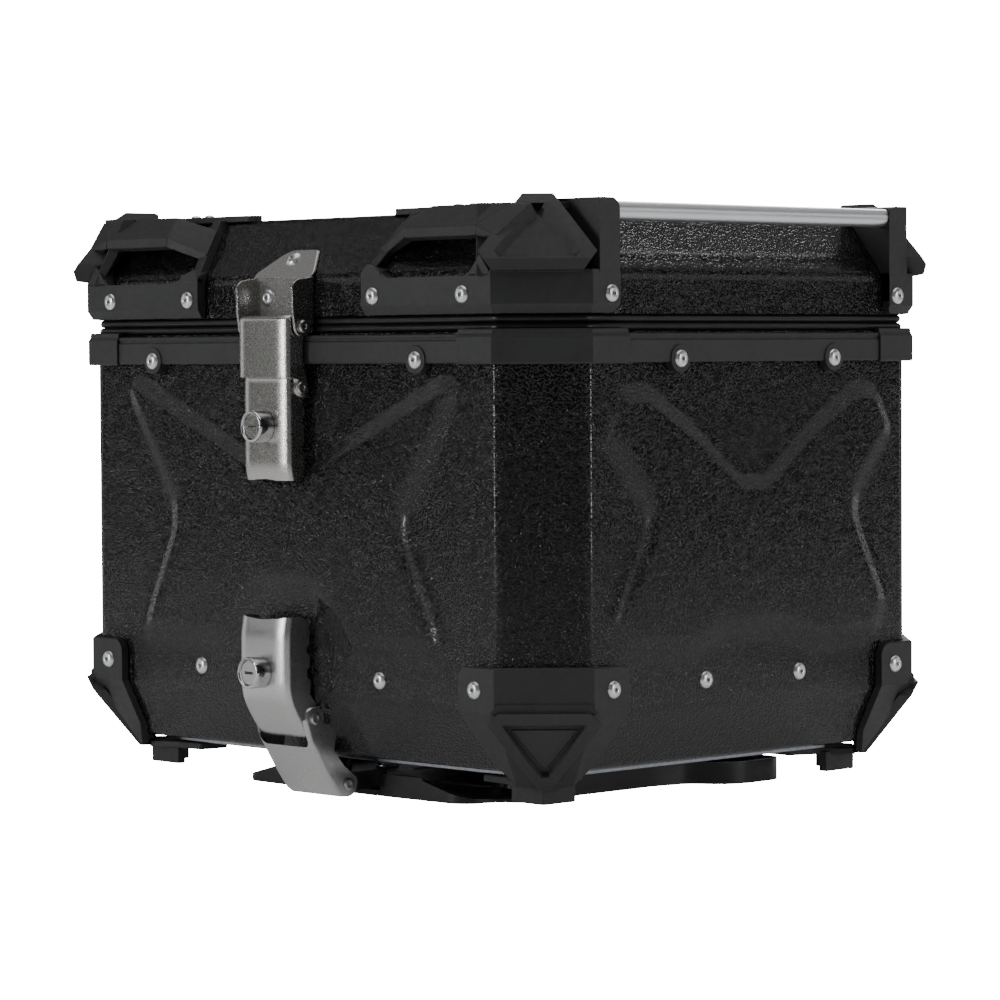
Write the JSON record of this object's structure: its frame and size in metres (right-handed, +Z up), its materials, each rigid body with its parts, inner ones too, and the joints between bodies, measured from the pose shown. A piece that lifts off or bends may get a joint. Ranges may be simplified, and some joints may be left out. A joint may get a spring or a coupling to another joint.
{
  "type": "motorcycle top case",
  "caption": "Lockable octagonal sheet-metal luggage case with moulded corners, side rails, a hinged lid, toggle latches and a rack plate it lifts off.",
  "frame": {"origin": "middle of the base plate underside, where it rests on a motorcycle rack", "axes": "+X along the latch side towards the right-hand rail, -Y out of the latch side, +Z up"},
  "size_m": [0.4214, 0.3614, 0.327],
  "materials": {
    "powder_coat": "black pebbled powder coat, semi-gloss",
    "corner_plastic": "charcoal moulded, fine matt",
    "rubber": "black",
    "stainless": "bead-blasted stainless, satin",
    "chrome": "polished",
    "aluminium_tube": "satin anodised",
    "zinc_plate": "bright zinc plated",
    "black_steel": "black coated steel",
    "felt_mat": "needle felt"
  },
  "bodies": {
    "base": {"base_plate": "black_steel", "base_clevis": "black_steel", "lower_hang_pin": "stainless", "rear_hook_right": "black_steel", "rear_hook_left": "black_steel", "buffer_front_right": "rubber", "buffer_front_left": "rubber", "buffer_rear_right": "rubber", "buffer_rear_left": "rubber", "base_bolt_front_right": "zinc_plate", "base_bolt_front_left": "zinc_plate", "base_bolt_rear_right": "zinc_plate", "base_bolt_rear_left": "zinc_plate"},
    "case": {"body_shell": "powder_coat", "bottom_plate": "zinc_plate", "floor_mat": "felt_mat", "upper_keeper": "stainless", "lower_keeper": "stainless", "rim_strip_front": "corner_plastic", "rim_strip_rear": "corner_plastic", "rim_strip_left": "corner_plastic", "rim_strip_right": "corner_plastic", "rim_corner_front_right": "corner_plastic", "rim_corner_front_left": "corner_plastic", "rim_corner_rear_right": "corner_plastic", "rim_corner_rear_left": "corner_plastic", "foot_guard_front_right": "corner_plastic", "foot_guard_front_left": "corner_plastic", "foot_guard_rear_right": "corner_plastic", "foot_guard_rear_left": "corner_plastic", "hinge_case_leaf_right": "stainless", "hinge_case_leaf_left": "stainless", "hinge_pin_right": "stainless", "hinge_pin_left": "stainless"},
    "lid": {"lid_shell": "powder_coat", "lid_seal": "rubber", "latch_bracket": "stainless", "upper_hang_pin": "stainless", "lid_corner_front_right": "corner_plastic", "lid_corner_front_left": "corner_plastic", "lid_corner_rear_right": "corner_plastic", "lid_corner_rear_left": "corner_plastic", "rail_right": "aluminium_tube", "rail_left": "aluminium_tube", "hinge_lid_leaf_right": "stainless", "hinge_lid_leaf_left": "stainless"},
    "upper_latch_link": {"upper_link": "stainless", "upper_elbow_pin": "stainless"},
    "upper_latch_lever": {"upper_lever": "stainless", "upper_lock_barrel": "chrome", "upper_catch_pin": "stainless"},
    "upper_latch_key": {"upper_lock_plug": "chrome"},
    "lower_latch_link": {"lower_link": "stainless", "lower_elbow_pin": "stainless"},
    "lower_latch_lever": {"lower_lever": "stainless", "lower_lock_barrel": "chrome", "lower_catch_pin": "stainless"},
    "lower_latch_key": {"lower_lock_plug": "chrome"}
  },
  "joints": [
    {"name": "case_lift", "type": "slide", "parent": "base", "child": "case", "axis": [0, 0, 1], "range_m": [0, 0.12]},
    {"name": "lid_open", "type": "hinge", "parent": "case", "child": "lid", "pos_m": [0, 0.1685, 0.2605], "axis": [-1, 0, 0], "range_deg": [0, 95]},
    {"name": "upper_link_swing", "type": "hinge", "parent": "lid", "child": "upper_latch_link", "pos_m": [0, -0.167, 0.2593], "axis": [-1, 0, 0], "range_deg": [0, 80]},
    {"name": "upper_lever_swing", "type": "hinge", "parent": "upper_latch_link", "child": "upper_latch_lever", "pos_m": [0, -0.166, 0.226], "axis": [-1, 0, 0], "range_deg": [0, 60]},
    {"name": "upper_key_turn", "type": "hinge", "parent": "upper_latch_lever", "child": "upper_latch_key", "pos_m": [0, -0.1749, 0.2052], "axis": [0, -1, 0], "range_deg": [0, 90]},
    {"name": "lower_link_swing", "type": "hinge", "parent": "base", "child": "lower_latch_link", "pos_m": [0, -0.1351, 0.008], "axis": [1, 0, 0], "range_deg": [0, 45]},
    {"name": "lower_lever_swing", "type": "hinge", "parent": "lower_latch_link", "child": "lower_latch_lever", "pos_m": [0, -0.159, 0.0458], "axis": [1, 0, 0], "range_deg": [0, 70]},
    {"name": "lower_key_turn", "type": "hinge", "parent": "lower_latch_lever", "child": "lower_latch_key", "pos_m": [0, -0.1786, 0.0712], "axis": [0, -1, 0], "range_deg": [0, 90]}
  ]
}
